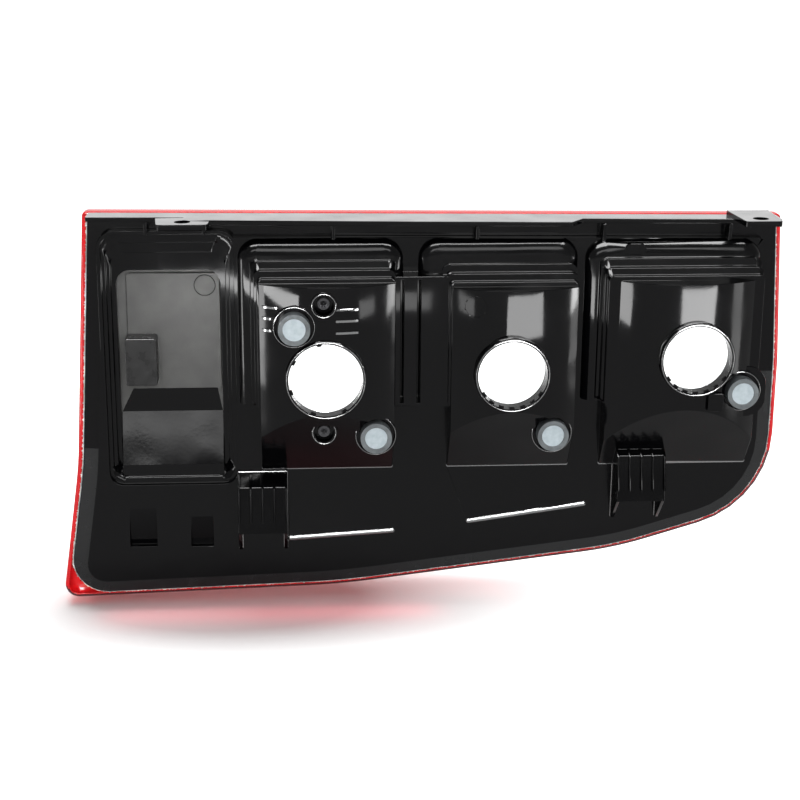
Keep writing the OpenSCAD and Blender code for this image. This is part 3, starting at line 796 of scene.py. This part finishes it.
def make_floor():
    """A white floor that keeps the shadow under the lamp and is lifted to white round it."""
    lowest = Matrix.Translation((0, 0, cad_box[0].z - FLOOR_GAP * MM))
    shape = bmesh.new()
    bmesh.ops.create_grid(shape, x_segments=1, y_segments=1, size=FLOOR_HALF, matrix=lowest)
    paint = Finish("floor_white", (0.8, 0.8, 0.8), 0.9, Specular_IOR_Level=0.1)
    glow = paint.node("Emission", {"Color": (1, 1, 1, 1)})
    near = paint.node("Mapping", {
        "Vector": paint.where, "Location": SHADOW_SHIFT, "Scale": SHADOW_STRETCH,
    })
    away = paint.node("VectorMath", {"Vector": near.outputs["Vector"]}, operation="LENGTH")
    far = paint.spread(away.outputs["Value"], 0.0, FLOOR_LIFT, SHADOW_NEAR, SHADOW_FAR)
    lift = paint.node("Math", {0: seen_plainly(paint.tree), 1: far}, operation="MULTIPLY")
    paint.join(lift.outputs["Value"], glow.inputs["Strength"])
    both = paint.tree.nodes.new("ShaderNodeAddShader")
    paint.join(paint.shader.outputs[0], both.inputs[0])
    paint.join(glow.outputs[0], both.inputs[1])
    paint.join(both.outputs[0], paint.tree.nodes["Material Output"].inputs["Surface"])
    make_piece("floor", shape, paint.material)


# Each lamp with the kind of ray that misses it, its place and aim, its width and height,
# and its radiance. Those that diffuse rays miss only show in the gloss of the lamp.

LAMPS = (
    ("softbox_behind", "none", (-0.15, 0.4, 1.6), (-0.02, 0, -0.2), 1.4, 1.0, 7.0),
    ("softbox_front", "glossy", (0, -2.2, 0), (0, 0, -0.1), 2.0, 0.5, 10),
    ("softbox_above", "diffuse", (0, -0.8, 1.3), (0, 0, -0.12), 1.8, 0.9, 75),
    ("softbox_for_ramp", "diffuse", (0, -2.2, 0.5), (0, 0, -0.1), 1.6, 0.4, 15),
    ("bar_left", "diffuse", (-0.62, -0.22, -0.18), (-0.1, 0, -0.12), 0.1, 0.16, 36),
    ("bar_right", "diffuse", (0.6, -0.22, -0.18), (0.1, 0, -0.12), 0.1, 0.16, 12),
    ("strip_left", "diffuse", (-0.165, -0.04, -0.059), (-0.165, 0, -0.059), 0.078, 0.010, 60),
    ("strip_second", "diffuse", (-0.037, -0.04, -0.064), (-0.037, 0, -0.064), 0.030, 0.012, 16),
    ("strip_middle", "diffuse", (0.042, -0.04, -0.068), (0.042, 0, -0.068), 0.044, 0.029, 48),
    ("strip_right", "diffuse", (0.155, -0.04, -0.064), (0.155, 0, -0.064), 0.044, 0.030, 66),
    (
        "light_through_the_lens", "glossy", (-0.13, 0.012, -0.25), (-0.13, 0.004, -0.267),
        0.22, 0.016, 1.15, (1, 0.05, 0.09),
    ),
)

make_camera()
make_world()
make_floor()
for row in LAMPS:
    make_lamp(*row)

# Each place with its middle in u, v, w and the radius of its line or its teeth

RING_PLACES = (
    ("left", (-93, -99, 43), 24.6), ("middle", (24.5, -96.5, 46), 23.1),
    ("right", (142, -88, 45), 23.1),
    ("vent_upper_left", (-112.5, -65, 40.5), 12.7), ("vent_lower_left", (-61, -139, 31.5), 12.7),
    ("vent_middle", (52.5, -139, 31.5), 12.7), ("vent_right", (174, -112, 33), 12.7),
    ("screw_upper", (-94, -51, 42.5), 7.4), ("screw_lower", (-94, -136, 34), 7.4),
)
TOOTH_PLACES = (
    ("left", (-93, -99, 41), 22.9, 100, 200, 5), ("middle", (24.5, -96.5, 44), 21.4, 215, 110, 7),
    ("right", (142, -88, 43), 21.4, 215, 110, 7),
)

black, painted_sheen = gloss_black(), painted_sheen_black()
dress_housing(black, grained_black(), painted_reflection_black(), painted_sheen)
dress_lens(red_acrylic(), lip_painted_shade_red())
dress_reflex_panel(reflex_acrylic())
clear, chrome = clear_acrylic(), vacuum_chrome()
for side in ("left", "middle", "right"):
    dressed("clear_window_" + side, "clear_lens", clear, WINDOW_ROUNDING)
    dressed("reflector_" + side, "reflector_chrome", chrome, 0.2)
sealant_with_drops(hot_melt())
for where, middle, radius, first, sweep, count in TOOTH_PLACES:
    name = "bulb_hole_" + where + "_teeth"
    hole_teeth(name, place(*middle), radius, first, sweep, count, black)
# The raised ring lines round holes, vents and screws carry the painted sheen.
for where, middle, radius in RING_PLACES:
    moulded_ring("ring_line_" + where, place(*middle), radius, painted_sheen)
moulded_ring("ring_line_panel_mark", place(-169, -47.5, -2.6), 6.7, black)
rubber, membrane = vent_rubber(), vent_membrane()
for where in ("upper_left", "lower_left", "middle", "right"):
    dressed("vent_cap_" + where, "vent_grey", rubber, 0.6)
    dressed("vent_membrane_" + where, "membrane_pale", membrane, 0.1)
zinc = dark_zinc()
for where in ("upper", "lower"):
    dressed("reflector_screw_" + where, "screw_steel", zinc, 0.25)
dressed("harness_clip", "clip_plastic", satin_black(), 0.4)

bpy.context.scene.view_settings.view_transform = "Standard"
